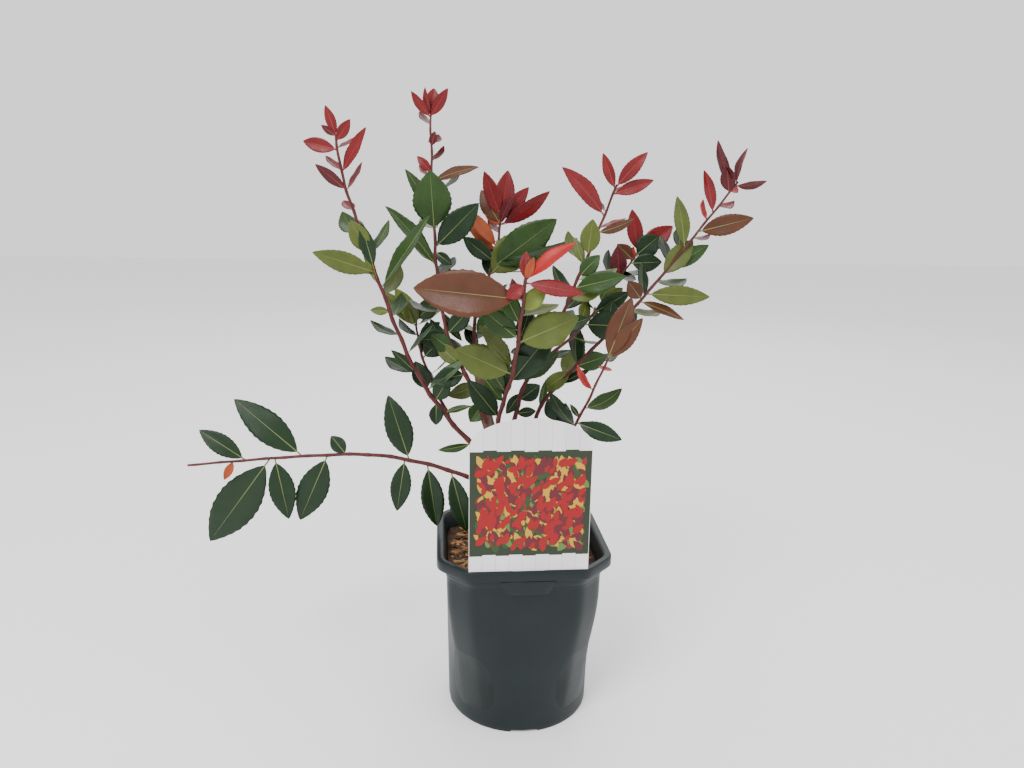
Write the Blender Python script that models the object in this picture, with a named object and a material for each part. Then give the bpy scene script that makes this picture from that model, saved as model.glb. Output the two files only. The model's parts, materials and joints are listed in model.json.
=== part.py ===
# A young potted photinia: square-topped pot with a round base, mulch, plant card, short trunk,
# ten boughs and the masses of leaves that they carry. Lengths are in metres, +Z is up, and the
# origin is the centre of the pot's flat underside. The card's side of the pot faces -Y.

import math
import random

import bmesh
import bpy
from mathutils import Matrix, Vector

MM = 0.001
GAP = 0.0003

# Pot
POT_HEIGHT = 0.180
RIM_HALF = 0.085
CORNER_LEG = 0.029
NECK_HALF = 0.0755
BASE_RADIUS = 0.0727
NECK_Z = 0.160
SKIRT_Z = 0.170
FLANGE_Z = 0.178
WALL = 0.0016
FLOOR = 0.003
EDGE = 0.0012
FLAT_STEPS = 7
CHAMFER_STEPS = 3
ROUND_BELOW = 0.020
SQUARE_ABOVE = 0.140
NOTCH_WIDTH = 0.028
NOTCH_HEIGHT = 0.002
NOTCH_DEPTH = 0.006

# Card and the pocket that holds its tongue
CARD_WIDTH = 0.111
CARD_STRAIGHT = 0.119
CARD_ARCH = 0.027
CARD_THICK = 0.0006
CARD_Y = -0.0822
TONGUE_WIDTH = 0.030
TONGUE_BOTTOM = 0.160
POCKET_TOP_WIDTH = 0.0525
POCKET_BOTTOM_WIDTH = 0.038
POCKET_BOTTOM = 0.1562
POCKET_WALL = 0.0015

# Mulch
SOIL_TOP = 0.163
SOIL_FLAT_RADIUS = 0.024
SOIL_LUMP = 0.0015
SOIL_RINGS = 4

# Trunk: stations in millimetres, radii in millimetres
TRUNK_STATIONS = [(1, 0, 157), (-5, 1, 190), (-14, 3, 225), (-25, 5, 268), (-37, 7, 312), (-43, 8, 353)]
TRUNK_RADII = (8.5, 5.3)
TRUNK_FLARE = 6.0
FLARE_REACH = 0.10
TRUNK_SIDES_EXTRA = 2
LIMB_SIDES_EXTRA = 1

# Boughs: parent, how far along the parent it leaves, radii at foot and tip, and the stations
# that it passes, all in millimetres
BOUGHS = {
    "bough_low_left": dict(parent="trunk", at=0.31, radii=(2.4, 1.1), stations=[
        (-53, -1, 242), (-92, -3, 257), (-148, -6, 269), (-221, -9, 269), (-319, -15, 264)]),
    "bough_left": dict(parent="trunk", at=0.44, radii=(2.8, 1.2), stations=[
        (-68, 2, 297), (-108, -2, 360), (-143, -9, 456), (-165, -16, 528), (-169, -19, 555)]),
    "bough_back_left": dict(parent="bough_left", at=0.21, radii=(1.8, 1.1), stations=[
        (-94, 31, 346), (-104, 52, 379), (-104, 68, 396)]),
    "bough_tall": dict(parent="trunk", at=0.64, radii=(2.5, 1.1), stations=[
        (-50, -2, 336), (-73, 14, 383), (-83, 30, 440), (-87, 44, 512), (-89, 54, 583)]),
    "bough_back": dict(parent="trunk", at=0.84, radii=(2.4, 1.2), stations=[
        (-43, 34, 352), (-44, 64, 403), (-24, 83, 450), (-15, 96, 497)]),
    "bough_front": dict(parent="trunk", at=0.50, radii=(2.6, 1.2), stations=[
        (-26, -33, 310), (-17, -74, 367), (-14, -99, 412), (-14, -118, 445)]),
    "bough_right": dict(parent="trunk", at=0.36, radii=(2.8, 1.1), stations=[
        (-8, -11, 308), (1, -18, 344), (26, -30, 397), (49, -42, 460), (71, -52, 518)]),
    "bough_back_right": dict(parent="bough_right", at=0.44, radii=(1.7, 1.0), stations=[
        (55, 5, 391), (97, 46, 431), (129, 81, 456)]),
    "bough_far_right": dict(parent="trunk", at=0.25, radii=(2.5, 1.1), stations=[
        (16, 11, 303), (50, 11, 349), (113, 9, 417), (163, 11, 479), (199, 11, 524)]),
    "bough_low_right": dict(parent="trunk", at=0.17, radii=(2.0, 1.1), stations=[
        (30, -33, 275), (46, -50, 314), (54, -67, 342), (64, -89, 380)]),
}

# Leaf masses: centre, half sizes of the core, the furthest leaf tips counted from the centre,
# and how many more leaves fill the sides that have none, all in millimetres. A mass with
# tip_of ends that bough; every other mass is cut round the boughs that run through it.
MASSES = {
    "leaves_left_tip": dict(at=(-169, -19, 555), core=(9, 9, 14), fill=3, tip_of="bough_left", tips=[
        (-8, -4, 35), (11, 7, 25), (-28, -7, 5), (26, 3, 18), (-18, -10, -14)]),
    "leaves_left_upper": dict(at=(-141, -9, 450), core=(10, 11, 18), fill=4, tips=[
        (-21, 7, 43), (-7, -15, 38), (-53, -9, 15), (51, 17, 48), (16, -7, -21)]),
    "leaves_tall_tip": dict(at=(-89, 54, 583), core=(7, 7, 13), fill=3, tip_of="bough_tall", tips=[
        (-18, 2, 29), (-5, 9, 35), (6, -9, 32), (18, -2, 33), (-13, 6, -30)]),
    "leaves_tall_middle": dict(at=(-83, 42, 485), core=(12, 12, 24), fill=4, tips=[
        (-4, -8, 56), (-31, 17, 56), (41, 6, 59), (41, -10, 25), (-51, 10, 20)]),
    "leaves_back_top": dict(at=(-15, 96, 497), core=(12, 12, 15), fill=3, tip_of="bough_back", tips=[
        (-19, 2, 45), (8, 7, 46), (29, 7, 30), (49, -10, 26), (-40, 9, 6), (-39, -8, -6)]),
    "leaves_back_middle": dict(at=(-18, 80, 442), core=(14, 14, 14), fill=4, tips=[
        (-45, 4, 32), (30, -13, 37), (59, 4, 50), (76, -7, 9), (-20, 10, -34)]),
    "leaves_front_top": dict(at=(-14, -118, 445), core=(12, 12, 12), fill=3, tip_of="bough_front", tips=[
        (-88, 4, -1), (-66, 4, 20), (-55, -5, -17), (1, 3, 29), (41, 2, 36), (47, -10, -4)]),
    "leaves_front_lower": dict(at=(-17, -84, 382), core=(12, 11, 17), fill=4, tips=[
        (53, -10, 36), (-50, -3, 8), (21, 0, 45), (-18, -10, 30), (35, 9, 12), (0, 6, -44)]),
    "leaves_right_tip": dict(at=(71, -52, 518), core=(8, 8, 14), fill=3, tip_of="bough_right", tips=[
        (-12, -4, 35), (7, 5, 37), (29, 2, 37), (34, -3, 13), (-47, -1, 23)]),
    "leaves_right_middle": dict(at=(49, -42, 460), core=(11, 10, 17), fill=4, tips=[
        (6, 0, 38), (-12, -9, 24), (45, 6, 36), (-12, 7, -44), (36, -8, -11)]),
    "leaves_back_right": dict(at=(129, 81, 456), core=(11, 11, 13), fill=4, tip_of="bough_back_right", tips=[
        (-8, 6, 51), (33, -8, 34), (-21, 10, 14), (24, -2, 20), (-19, 10, -29)]),
    "leaves_far_tip": dict(at=(199, 11, 524), core=(8, 8, 11), fill=3, tip_of="bough_far_right", tips=[
        (-16, 2, 48), (15, 4, 41), (34, -3, 11), (23, -7, -26), (-28, 0, 20)]),
    "leaves_far_middle": dict(at=(148, 10, 459), core=(12, 11, 12), fill=4, tips=[
        (-1, 5, 60), (15, -14, 22), (36, 7, 16), (34, -11, -34), (11, -5, -57)]),
    "leaves_low_right_tip": dict(at=(64, -89, 387), core=(8, 8, 11), fill=3, tip_of="bough_low_right", tips=[
        (17, 3, 50), (27, -8, 23), (7, 9, 59), (-28, -2, -10)]),
    "leaves_back_left": dict(at=(-104, 68, 396), core=(10, 10, 12), fill=4, tip_of="bough_back_left", tips=[
        (-31, -3, 19), (-21, 9, 28), (-48, 5, 2), (22, -2, 18), (3, 5, -27)]),
    "leaves_left_middle": dict(at=(-69, 20, 374), core=(10, 9, 10), fill=3, tips=[
        (19, -2, 37), (-26, -2, 4), (-18, 9, 16), (16, -9, -13)]),
    "leaves_left_lower": dict(at=(-93, 0, 332), core=(10, 9, 12), fill=3, tips=[
        (-35, 4, 39), (50, -24, -26), (6, -8, -32), (17, -10, 33)]),
    "leaves_trunk_top": dict(at=(-40, 12, 326), core=(11, 10, 12), fill=3, tips=[
        (-12, 12, 34), (20, -14, -10), (3, -4, -34), (24, 6, 50)]),
    "leaves_right_lower": dict(at=(25, -18, 358), core=(11, 10, 12), fill=3, tips=[
        (50, -12, 14), (39, 10, -6), (8, -11, -46), (-27, 9, -34), (38, 9, 46)]),
    "leaves_foot_right": dict(at=(43, -45, 302), core=(7, 7, 6), fill=1, tips=[
        (49, 3, -11), (9, 1, 14)]),
    "pad_low_left_foot": dict(at=(-68, -3, 246), core=(5, 4, 6), fill=0, tips=[
        (18, -6, -53), (-6, 5, 9)]),
    "pad_low_left_inner": dict(at=(-108, -4, 260), core=(10, 4, 7), fill=1, tips=[
        (-23, 6, 62), (-16, -6, -48), (23, 5, -60)]),
    "pad_low_left_middle": dict(at=(-186, -8, 269), core=(7, 4, 6), fill=0, tips=[
        (-2, 6, 20), (-29, -6, -60)]),
    "pad_low_left_outer": dict(at=(-240, -11, 268), core=(10, 4, 7), fill=0, tips=[
        (-38, 6, 58), (15, 5, -53), (-62, -8, -76)]),
    "pad_low_left_tip": dict(at=(-284, -13, 266), core=(6, 4, 6), fill=0, tips=[
        (-30, 5, 30), (-6, -5, -20)]),
}
LOBE_WIDTH = math.radians(34)
LOBE_POWER = 1.6
FILL_REACH = (26, 36)
CORE_UNEVEN = 0.12
MASS_COLUMNS = 12
MASS_ROWS = 8
SEED = 41

for old in list(bpy.data.objects):
    bpy.data.objects.remove(old, do_unlink=True)

plant = bpy.data.collections.new("potted_photinia")
cutters = bpy.data.collections.new("cutters")
for collection in (plant, cutters):
    bpy.context.scene.collection.children.link(collection)


def finish(name, color, roughness):
    material = bpy.data.materials.new(name)
    material.use_nodes = True
    shader = material.node_tree.nodes["Principled BSDF"]
    shader.inputs["Base Color"].default_value = (*color, 1.0)
    shader.inputs["Roughness"].default_value = roughness
    material.diffuse_color = (*color, 1.0)
    return material


POT_PLASTIC = finish("pot_plastic", (0.012, 0.024, 0.027), 0.45)
CARD_PRINT = finish("card_print", (0.78, 0.74, 0.76), 0.4)
MULCH = finish("mulch", (0.16, 0.075, 0.03), 0.9)
BARK = finish("bark", (0.10, 0.035, 0.025), 0.6)
RED_LEAF = finish("red_leaf", (0.36, 0.02, 0.02), 0.4)
GREEN_LEAF = finish("green_leaf", (0.03, 0.09, 0.02), 0.4)


def add_mesh(name, build, material=None, home=plant):
    mesh = bpy.data.meshes.new(name)
    build.to_mesh(mesh)
    build.free()
    return add_object(name, mesh, material, home)


def add_object(name, mesh, material, home):
    thing = bpy.data.objects.new(name, mesh)
    home.objects.link(thing)
    if material:
        mesh.materials.append(material)
    if home is cutters:
        thing.hide_render = True
        thing.display_type = "WIRE"
    return thing


def add_box(name, low, high):
    build = bmesh.new()
    middle = [(a + b) / 2 for a, b in zip(low, high)]
    size = [b - a for a, b in zip(low, high)]
    bmesh.ops.create_cube(build, size=1.0, matrix=Matrix.Translation(middle) @ Matrix.Diagonal((*size, 1)))
    return add_mesh(name, build, home=cutters)


def subtract(thing, cutter):
    cut = thing.modifiers.new(cutter.name, "BOOLEAN")
    cut.operation = "DIFFERENCE"
    cut.solver = "EXACT"
    cut.object = cutter


def bake(thing):
    # Applies the modifiers and keeps the largest piece, so a cut leaves no crumbs behind
    bpy.context.view_layer.update()
    evaluated = thing.evaluated_get(bpy.context.evaluated_depsgraph_get())
    mesh = bpy.data.meshes.new_from_object(evaluated)
    thing.modifiers.clear()
    thing.data = mesh
    build = bmesh.new()
    build.from_mesh(mesh)
    bmesh.ops.triangulate(build, faces=build.faces)
    bmesh.ops.remove_doubles(build, verts=build.verts, dist=0.00001)
    islands = split_islands(build)
    largest = max(islands, key=len)
    loose = [vert for island in islands if island is not largest for vert in island]
    bmesh.ops.delete(build, geom=loose, context="VERTS")
    build.to_mesh(mesh)
    build.free()


def split_islands(build):
    islands, seen = [], set()
    for start in build.verts:
        if start in seen:
            continue
        seen.add(start)
        island, front = [], [start]
        while front:
            vert = front.pop()
            island.append(vert)
            for edge in vert.link_edges:
                other = edge.other_vert(vert)
                if other not in seen:
                    seen.add(other)
                    front.append(other)
        islands.append(island)
    return islands


# Pot

def octagon_reach(angle, half, leg):
    # Distance from the centre to a square with cut corners, in the direction of the angle
    to_flat = max(abs(math.cos(angle)), abs(math.sin(angle))) / half
    to_cut = (abs(math.cos(angle)) + abs(math.sin(angle))) / (2 * half - leg)
    return 1 / max(to_flat, to_cut)


def ring_angles():
    corner = math.atan2(RIM_HALF - CORNER_LEG, RIM_HALF)
    angles = []
    for quarter in range(4):
        start = quarter * math.pi / 2
        for step in range(FLAT_STEPS):
            angles.append(start - corner + 2 * corner * step / FLAT_STEPS)
        for step in range(CHAMFER_STEPS):
            angles.append(start + corner + (math.pi / 2 - 2 * corner) * step / CHAMFER_STEPS)
    return angles


def squareness(z):
    # 0 on the round base, 1 on the cut-cornered top
    share = min(1.0, max(0.0, (z - ROUND_BELOW) / (SQUARE_ABOVE - ROUND_BELOW)))
    return share * share * (3 - 2 * share)


def ring(build, half, z):
    leg = CORNER_LEG - (RIM_HALF - half) * (2 - math.sqrt(2))
    square = squareness(z)
    verts = []
    for angle in ring_angles():
        reach = square * octagon_reach(angle, half, leg) + (1 - square) * half
        verts.append(build.verts.new((reach * math.cos(angle), reach * math.sin(angle), z)))
    return verts


def loft(build, rings):
    # The diagonal always rises with the turn, so two nested lofts bend alike and keep their gap
    for near, far in zip(rings, rings[1:]):
        rising = near[0].co.z < far[0].co.z
        for i in range(len(near)):
            j = (i + 1) % len(near)
            if rising:
                build.faces.new((near[i], near[j], far[j]))
                build.faces.new((near[i], far[j], far[i]))
            else:
                build.faces.new((near[i], near[j], far[i]))
                build.faces.new((near[j], far[j], far[i]))


def fan(build, verts, z, facing_up):
    middle = build.verts.new((0, 0, z))
    for i in range(len(verts)):
        pair = (verts[i], verts[(i + 1) % len(verts)])
        build.faces.new((middle, *pair) if facing_up else (middle, *reversed(pair)))


def body_half(z):
    return BASE_RADIUS + (NECK_HALF - BASE_RADIUS) * z / NECK_Z


def band_half(z):
    # The band between the neck and the rim leans out
    share = (z - NECK_Z) / (SKIRT_Z - NECK_Z)
    return NECK_HALF + 0.0009 + 0.0023 * share


def build_pot():
    build = bmesh.new()
    levels = [EDGE, 0.025, 0.050, 0.075, 0.100, 0.125, NECK_Z]
    outside = [(body_half(0) - EDGE, 0.0)] + [(body_half(z), z) for z in levels]
    outside += [(band_half(NECK_Z), NECK_Z + 0.0004), (band_half(SKIRT_Z), SKIRT_Z)]
    outside += [(band_half(SKIRT_Z) + 0.0002, FLANGE_Z), (RIM_HALF - 0.0017, FLANGE_Z)]
    outside += [(RIM_HALF - 0.0016, SKIRT_Z + 0.0002), (RIM_HALF - 0.0004, SKIRT_Z)]
    outside += [(RIM_HALF, SKIRT_Z + 0.0005), (RIM_HALF, POT_HEIGHT - 0.0010)]
    outside += [(RIM_HALF - 0.0009, POT_HEIGHT), (RIM_HALF - 0.0060, POT_HEIGHT)]
    outside += [(band_half(SKIRT_Z) - WALL, FLANGE_Z - 0.0004)]
    inside = [(band_half(NECK_Z) - WALL, NECK_Z + 0.0004)]
    inside += [(body_half(z) - WALL, z) for z in [NECK_Z, 0.125, 0.100, 0.075, 0.050, 0.025, FLOOR]]
    rings = [ring(build, half, z) for half, z in outside + inside]
    loft(build, rings)
    fan(build, rings[0], 0.0, facing_up=False)
    fan(build, rings[-1], FLOOR, facing_up=True)
    pot = add_mesh("pot", build, POT_PLASTIC)
    for side in range(4):
        notch = add_box(f"notch_{side}", (-NOTCH_WIDTH / 2, -BASE_RADIUS - 0.01, -0.005),
                        (NOTCH_WIDTH / 2, -BASE_RADIUS + NOTCH_DEPTH, NOTCH_HEIGHT))
        notch.matrix_world = Matrix.Rotation(side * math.pi / 2, 4, "Z")
        subtract(pot, notch)
    slot_half = CARD_THICK / 2 + GAP
    slot = add_box("card_slot", (-TONGUE_WIDTH / 2 - GAP, CARD_Y - slot_half, SKIRT_Z - 0.002),
                   (TONGUE_WIDTH / 2 + GAP, CARD_Y + slot_half, POT_HEIGHT + 0.002))
    subtract(pot, slot)
    return pot


def plate(name, outline, thick, y, material):
    # A flat outline in X and Z, made solid to both sides of the plane at y
    curve = bpy.data.curves.new(name, "CURVE")
    curve.dimensions = "2D"
    curve.fill_mode = "BOTH"
    curve.extrude = thick / 2
    spline = curve.splines.new("POLY")
    spline.points.add(len(outline) - 1)
    for point, (x, z) in zip(spline.points, outline):
        point.co = (x, z, 0, 1)
    spline.use_cyclic_u = True
    flat = bpy.data.objects.new(name + "_outline", curve)
    plant.objects.link(flat)
    flat.matrix_world = Matrix.Translation((0, y, 0)) @ Matrix.Rotation(math.pi / 2, 4, "X")
    return curve_to_mesh(flat, name, material, plant)


def curve_to_mesh(guide, name, material, home):
    bpy.context.view_layer.update()
    evaluated = guide.evaluated_get(bpy.context.evaluated_depsgraph_get())
    mesh = bpy.data.meshes.new_from_object(evaluated)
    build = bmesh.new()
    build.from_mesh(mesh)
    bmesh.ops.remove_doubles(build, verts=build.verts, dist=0.00001)
    bmesh.ops.recalc_face_normals(build, faces=build.faces)
    build.transform(guide.matrix_world)
    build.to_mesh(mesh)
    build.free()
    mesh.materials.clear()
    solid = add_object(name, mesh, material, home)
    curve = guide.data
    bpy.data.objects.remove(guide, do_unlink=True)
    bpy.data.curves.remove(curve)
    return solid


def build_pocket():
    top = SKIRT_Z - GAP
    front = -RIM_HALF
    back = -body_half(POCKET_BOTTOM) - 0.002
    half_top, half_bottom = POCKET_TOP_WIDTH / 2, POCKET_BOTTOM_WIDTH / 2
    corner = 0.0025
    outline = [(half_top, top), (-half_top, top), (-half_bottom - corner, POCKET_BOTTOM + corner),
               (-half_bottom + corner * 0.4, POCKET_BOTTOM), (half_bottom - corner * 0.4, POCKET_BOTTOM),
               (half_bottom + corner, POCKET_BOTTOM + corner)]
    pocket = plate("label_pocket", outline, back - front + 0.004, (front + back) / 2 + 0.002, POT_PLASTIC)
    inner = [(x * (1 - POCKET_WALL / half_bottom), z + (POCKET_WALL if z < top else 0.004)) for x, z in outline]
    hollow = plate("pocket_hollow", inner, 0.02, front + POCKET_WALL + 0.01, None)
    plant.objects.unlink(hollow)
    cutters.objects.link(hollow)
    hollow.hide_render = True
    hollow.display_type = "WIRE"
    build = bmesh.new()
    rings = [ring(build, body_half(z) + GAP, z) for z in (0.140, NECK_Z)]
    rings += [ring(build, band_half(z) + GAP, z + 0.0004) for z in (NECK_Z, SKIRT_Z)]
    rings += [ring(build, band_half(SKIRT_Z) + GAP, 0.19)]
    loft(build, rings)
    fan(build, rings[0], 0.140, facing_up=False)
    fan(build, rings[-1], 0.19, facing_up=True)
    neck = add_mesh("neck_clearance", build, home=cutters)
    subtract(pocket, hollow)
    subtract(pocket, neck)
    return pocket


def build_card():
    foot = POT_HEIGHT + GAP
    half = CARD_WIDTH / 2
    shoulder = foot + CARD_STRAIGHT
    steps = 14
    outline = [(-TONGUE_WIDTH / 2, foot), (-TONGUE_WIDTH / 2 + 0.003, TONGUE_BOTTOM),
               (TONGUE_WIDTH / 2 - 0.003, TONGUE_BOTTOM), (TONGUE_WIDTH / 2, foot), (half, foot)]
    for step in range(steps + 1):
        angle = math.pi * step / steps
        outline.append((half * math.cos(angle), shoulder + CARD_ARCH * math.sin(angle)))
    outline.append((-half, foot))
    return plate("label_card", outline, CARD_THICK, CARD_Y, CARD_PRINT)


def build_soil():
    build = bmesh.new()
    pick = random.Random(SEED)
    levels = [FLOOR + GAP, 0.025, 0.050, 0.075, 0.100, 0.125, NECK_Z]
    rings = [ring(build, body_half(z) - WALL - GAP, z) for z in levels]
    rings.append(ring(build, band_half(NECK_Z) - WALL - GAP, SOIL_TOP - SOIL_LUMP))
    edge_half = band_half(NECK_Z) - WALL - GAP
    for step in range(1, SOIL_RINGS + 1):
        half = edge_half + (SOIL_FLAT_RADIUS - edge_half) * step / SOIL_RINGS
        row = []
        for vert in rings[-1]:
            flat = Vector((vert.co.x, vert.co.y))
            flat *= half / (half + (edge_half - SOIL_FLAT_RADIUS) / SOIL_RINGS)
            lump = 0 if step == SOIL_RINGS else pick.uniform(-SOIL_LUMP, SOIL_LUMP)
            row.append(build.verts.new((flat.x, flat.y, SOIL_TOP + lump)))
        rings.append(row)
    loft(build, rings)
    fan(build, rings[0], FLOOR + GAP, facing_up=False)
    fan(build, rings[-1], SOIL_TOP, facing_up=True)
    return add_mesh("soil", build, MULCH)


# Trunk and boughs

def smooth_path(stations, step):
    # Catmull-Rom curve through the stations, in metres, with a point about every step
    knots = [Vector(s) for s in stations]
    knots = [2 * knots[0] - knots[1]] + knots + [2 * knots[-1] - knots[-2]]
    points = []
    for a, b, c, d in zip(knots, knots[1:], knots[2:], knots[3:]):
        parts = max(1, round((c - b).length / step))
        for i in range(parts):
            t = i / parts
            points.append(0.5 * (2 * b + (c - a) * t + (2 * a - 5 * b + 4 * c - d) * t * t
                                 + (3 * b - a - 3 * c + d) * t ** 3))
    return points + [knots[-2]]


def point_along(points, share):
    lengths = [0.0]
    for a, b in zip(points, points[1:]):
        lengths.append(lengths[-1] + (b - a).length)
    goal = share * lengths[-1]
    for i in range(1, len(points)):
        if lengths[i] >= goal:
            part = (goal - lengths[i - 1]) / (lengths[i] - lengths[i - 1])
            return points[i - 1].lerp(points[i], part)
    return points[-1]


def limb(name, points, radii, flare, sides_extra, material, home, grow=0.0):
    curve = bpy.data.curves.new(name, "CURVE")
    curve.dimensions = "3D"
    curve.bevel_depth = 1.0
    curve.bevel_resolution = sides_extra
    curve.use_fill_caps = True
    spline = curve.splines.new("POLY")
    path = list(points)
    if grow:
        path[0] = path[0] + (path[0] - path[1]).normalized() * 0.001
        path[-1] = path[-1] + (path[-1] - path[-2]).normalized() * 0.001
    spline.points.add(len(path) - 1)
    for i, (point, place) in enumerate(zip(spline.points, path)):
        share = i / (len(path) - 1)
        radius = radii[0] + (radii[1] - radii[0]) * share + flare * math.exp(-share / FLARE_REACH)
        point.co = (*place, 1)
        point.radius = radius * MM + grow
    guide = bpy.data.objects.new(name + "_line", curve)
    home.objects.link(guide)
    return curve_to_mesh(guide, name, material, home)


def build_wood():
    paths = {"trunk": smooth_path([Vector(s) * MM for s in TRUNK_STATIONS], 0.010)}
    solids, clearances = {}, {}
    trunk_spec = (TRUNK_RADII, TRUNK_FLARE, TRUNK_SIDES_EXTRA)
    solids["trunk"] = limb("trunk", paths["trunk"], *trunk_spec, BARK, plant)
    clearances["trunk"] = limb("trunk_clearance", paths["trunk"], *trunk_spec, None, cutters, grow=GAP)
    ground = add_box("ground_clearance", (-RIM_HALF, -RIM_HALF, 0), (RIM_HALF, RIM_HALF, SOIL_TOP + GAP))
    subtract(solids["trunk"], ground)
    for name, spec in BOUGHS.items():
        foot = point_along(paths[spec["parent"]], spec["at"])
        paths[name] = smooth_path([foot] + [Vector(s) * MM for s in spec["stations"]], 0.022)
        shape = (spec["radii"], 0.0, LIMB_SIDES_EXTRA)
        solids[name] = limb(name, paths[name], *shape, BARK, plant)
        clearances[name] = limb(name + "_clearance", paths[name], *shape, None, cutters, grow=GAP)
        subtract(solids[name], clearances[spec["parent"]])
    return solids, clearances


# Leaf masses

def mass(name, spec, pick, material, home, grow=0.0):
    # A closed star-shaped solid: an uneven core, drawn out to a lobe towards each leaf tip
    core = Vector(spec["core"]) * MM
    tips = [Vector(t) * MM for t in spec["tips"]]
    turn = pick.uniform(0, 2 * math.pi)
    for i in range(spec["fill"]):
        rise = pick.uniform(-0.5, 0.7)
        around = turn + i * 2.4
        way = Vector((math.cos(around) * math.cos(rise), math.sin(around) * math.cos(rise), math.sin(rise)))
        if all(way.angle(tip) > LOBE_WIDTH for tip in tips):
            tips.append(way * pick.uniform(*FILL_REACH) * MM)
    build = bmesh.new()
    bmesh.ops.create_uvsphere(build, u_segments=MASS_COLUMNS, v_segments=MASS_ROWS, radius=1.0)
    ways = {vert: vert.co.normalized() for vert in build.verts}
    narrow = math.cos(LOBE_WIDTH)
    for vert, way in ways.items():
        reach = 1 / math.sqrt(sum((w / c) ** 2 for w, c in zip(way, core)))
        reach *= 1 + pick.uniform(-CORE_UNEVEN, CORE_UNEVEN)
        for tip in tips:
            near = (way.dot(tip.normalized()) - narrow) / (1 - narrow)
            if near > 0:
                reach = max(reach, reach + (tip.length - reach) * near ** LOBE_POWER)
        vert.co = way * (reach + grow)
    free = set(ways)
    for tip in tips:
        nearest = max(free, key=lambda vert: ways[vert].dot(tip.normalized()))
        free.remove(nearest)
        nearest.co = tip + tip.normalized() * grow
    bmesh.ops.triangulate(build, faces=build.faces)
    build.transform(Matrix.Translation(Vector(spec["at"]) * MM))
    return add_mesh(name, build, material, home)


def box_of(thing):
    corners = [v.co for v in thing.data.vertices]
    low = [min(c[i] for c in corners) for i in range(3)]
    high = [max(c[i] for c in corners) for i in range(3)]
    return low, high


def boxes_meet(first, second):
    (a_low, a_high), (b_low, b_high) = box_of(first), box_of(second)
    return all(a_low[i] <= b_high[i] and b_low[i] <= a_high[i] for i in range(3))


def build_masses(solids, clearances):
    made = []
    for number, (name, spec) in enumerate(MASSES.items()):
        material = RED_LEAF if "tip" in name or "top" in name else GREEN_LEAF
        solid = mass(name, spec, random.Random(SEED + number), material, plant)
        clearance = mass(name + "_clearance", spec, random.Random(SEED + number), None, cutters, grow=2 * GAP)
        ended = spec.get("tip_of")
        if ended:
            subtract(solids[ended], clearance)
        for bough, cutter in clearances.items():
            if bough != ended and boxes_meet(solid, cutter):
                subtract(solid, cutter)
        for other in made:
            if boxes_meet(solid, other):
                subtract(solid, other)
        bake(solid)
        made.append(clearance)
    for thing in solids.values():
        bake(thing)


build_pot()
build_pocket()
build_card()
build_soil()
wood, wood_clearances = build_wood()
build_masses(wood, wood_clearances)
for thing in plant.objects:
    thing.data.shade_smooth()
    thing.data.set_sharp_from_angle(angle=math.radians(30))
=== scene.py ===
import json
import math

import bpy
import numpy as np
from mathutils import Matrix

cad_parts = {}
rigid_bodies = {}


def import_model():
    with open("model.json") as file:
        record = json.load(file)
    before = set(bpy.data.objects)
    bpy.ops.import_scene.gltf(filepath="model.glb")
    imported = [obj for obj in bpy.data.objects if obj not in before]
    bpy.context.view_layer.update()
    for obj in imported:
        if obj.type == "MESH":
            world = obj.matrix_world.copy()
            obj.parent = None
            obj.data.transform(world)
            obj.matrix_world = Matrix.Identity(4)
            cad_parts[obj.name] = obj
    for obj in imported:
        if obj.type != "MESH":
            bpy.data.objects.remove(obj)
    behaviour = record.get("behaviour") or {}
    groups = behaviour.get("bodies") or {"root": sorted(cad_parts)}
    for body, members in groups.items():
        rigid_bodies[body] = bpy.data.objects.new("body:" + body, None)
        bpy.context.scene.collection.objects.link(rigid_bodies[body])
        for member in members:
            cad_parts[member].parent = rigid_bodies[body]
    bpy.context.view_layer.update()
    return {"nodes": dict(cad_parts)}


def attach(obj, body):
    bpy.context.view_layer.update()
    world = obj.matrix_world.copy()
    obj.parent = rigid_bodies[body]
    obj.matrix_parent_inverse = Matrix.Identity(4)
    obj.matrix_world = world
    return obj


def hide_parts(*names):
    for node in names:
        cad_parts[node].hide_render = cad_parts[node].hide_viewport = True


# Potted photinia shrub, in metres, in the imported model's own frame
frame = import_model()
dice = np.random.default_rng(41)

# Camera: a level turn, then a dip, then a roll; wide, focal and centre are in pixels of the picture
view = dict(wide=1024, focal=770.0, centre=(512.0, 384.0), spot=(-0.0798, -0.7308, 0.5129), sensor=36.0,
            near=0.01, turn=math.radians(5.4), dip=math.radians(13.4), roll=math.radians(1.0))
turnCos, turnSin = math.cos(view["turn"]), math.sin(view["turn"])
levelRight = np.array([turnCos, -turnSin, 0.0])
levelAhead = np.array([turnSin, turnCos, 0.0])
ahead = math.cos(view["dip"]) * levelAhead - math.sin(view["dip"]) * np.array([0, 0, 1.0])
levelUp = np.cross(levelRight, ahead)
viewRight = math.cos(view["roll"]) * levelRight + math.sin(view["roll"]) * levelUp
viewUp = -math.sin(view["roll"]) * levelRight + math.cos(view["roll"]) * levelUp
eye = np.array(view["spot"])


def unit(way):  # way / its length
    return way / np.linalg.norm(way)


def toPicture(points):  # pixel = centre + focal * (sideways, down) / distance ahead
    away = np.atleast_2d(points) - eye
    far = away @ ahead
    return np.stack([view["centre"][0] + view["focal"] * (away @ viewRight) / far,
                     view["centre"][1] - view["focal"] * (away @ viewUp) / far], 1)


def fromPicture(x, y, depth):  # the point on the pixel's ray at a level depth behind the pot's middle
    ray = (ahead + (x - view["centre"][0]) / view["focal"] * viewRight
           - (y - view["centre"][1]) / view["focal"] * viewUp)
    return eye + ray * (depth - eye @ levelAhead) / (ray @ levelAhead)


# Materials

finishShape = dict(specular=0.28, cloudDetail=6, grainDetail=4, rampFrom=0.3, rampTo=0.7, reliefDepth=0.0006)


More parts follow.
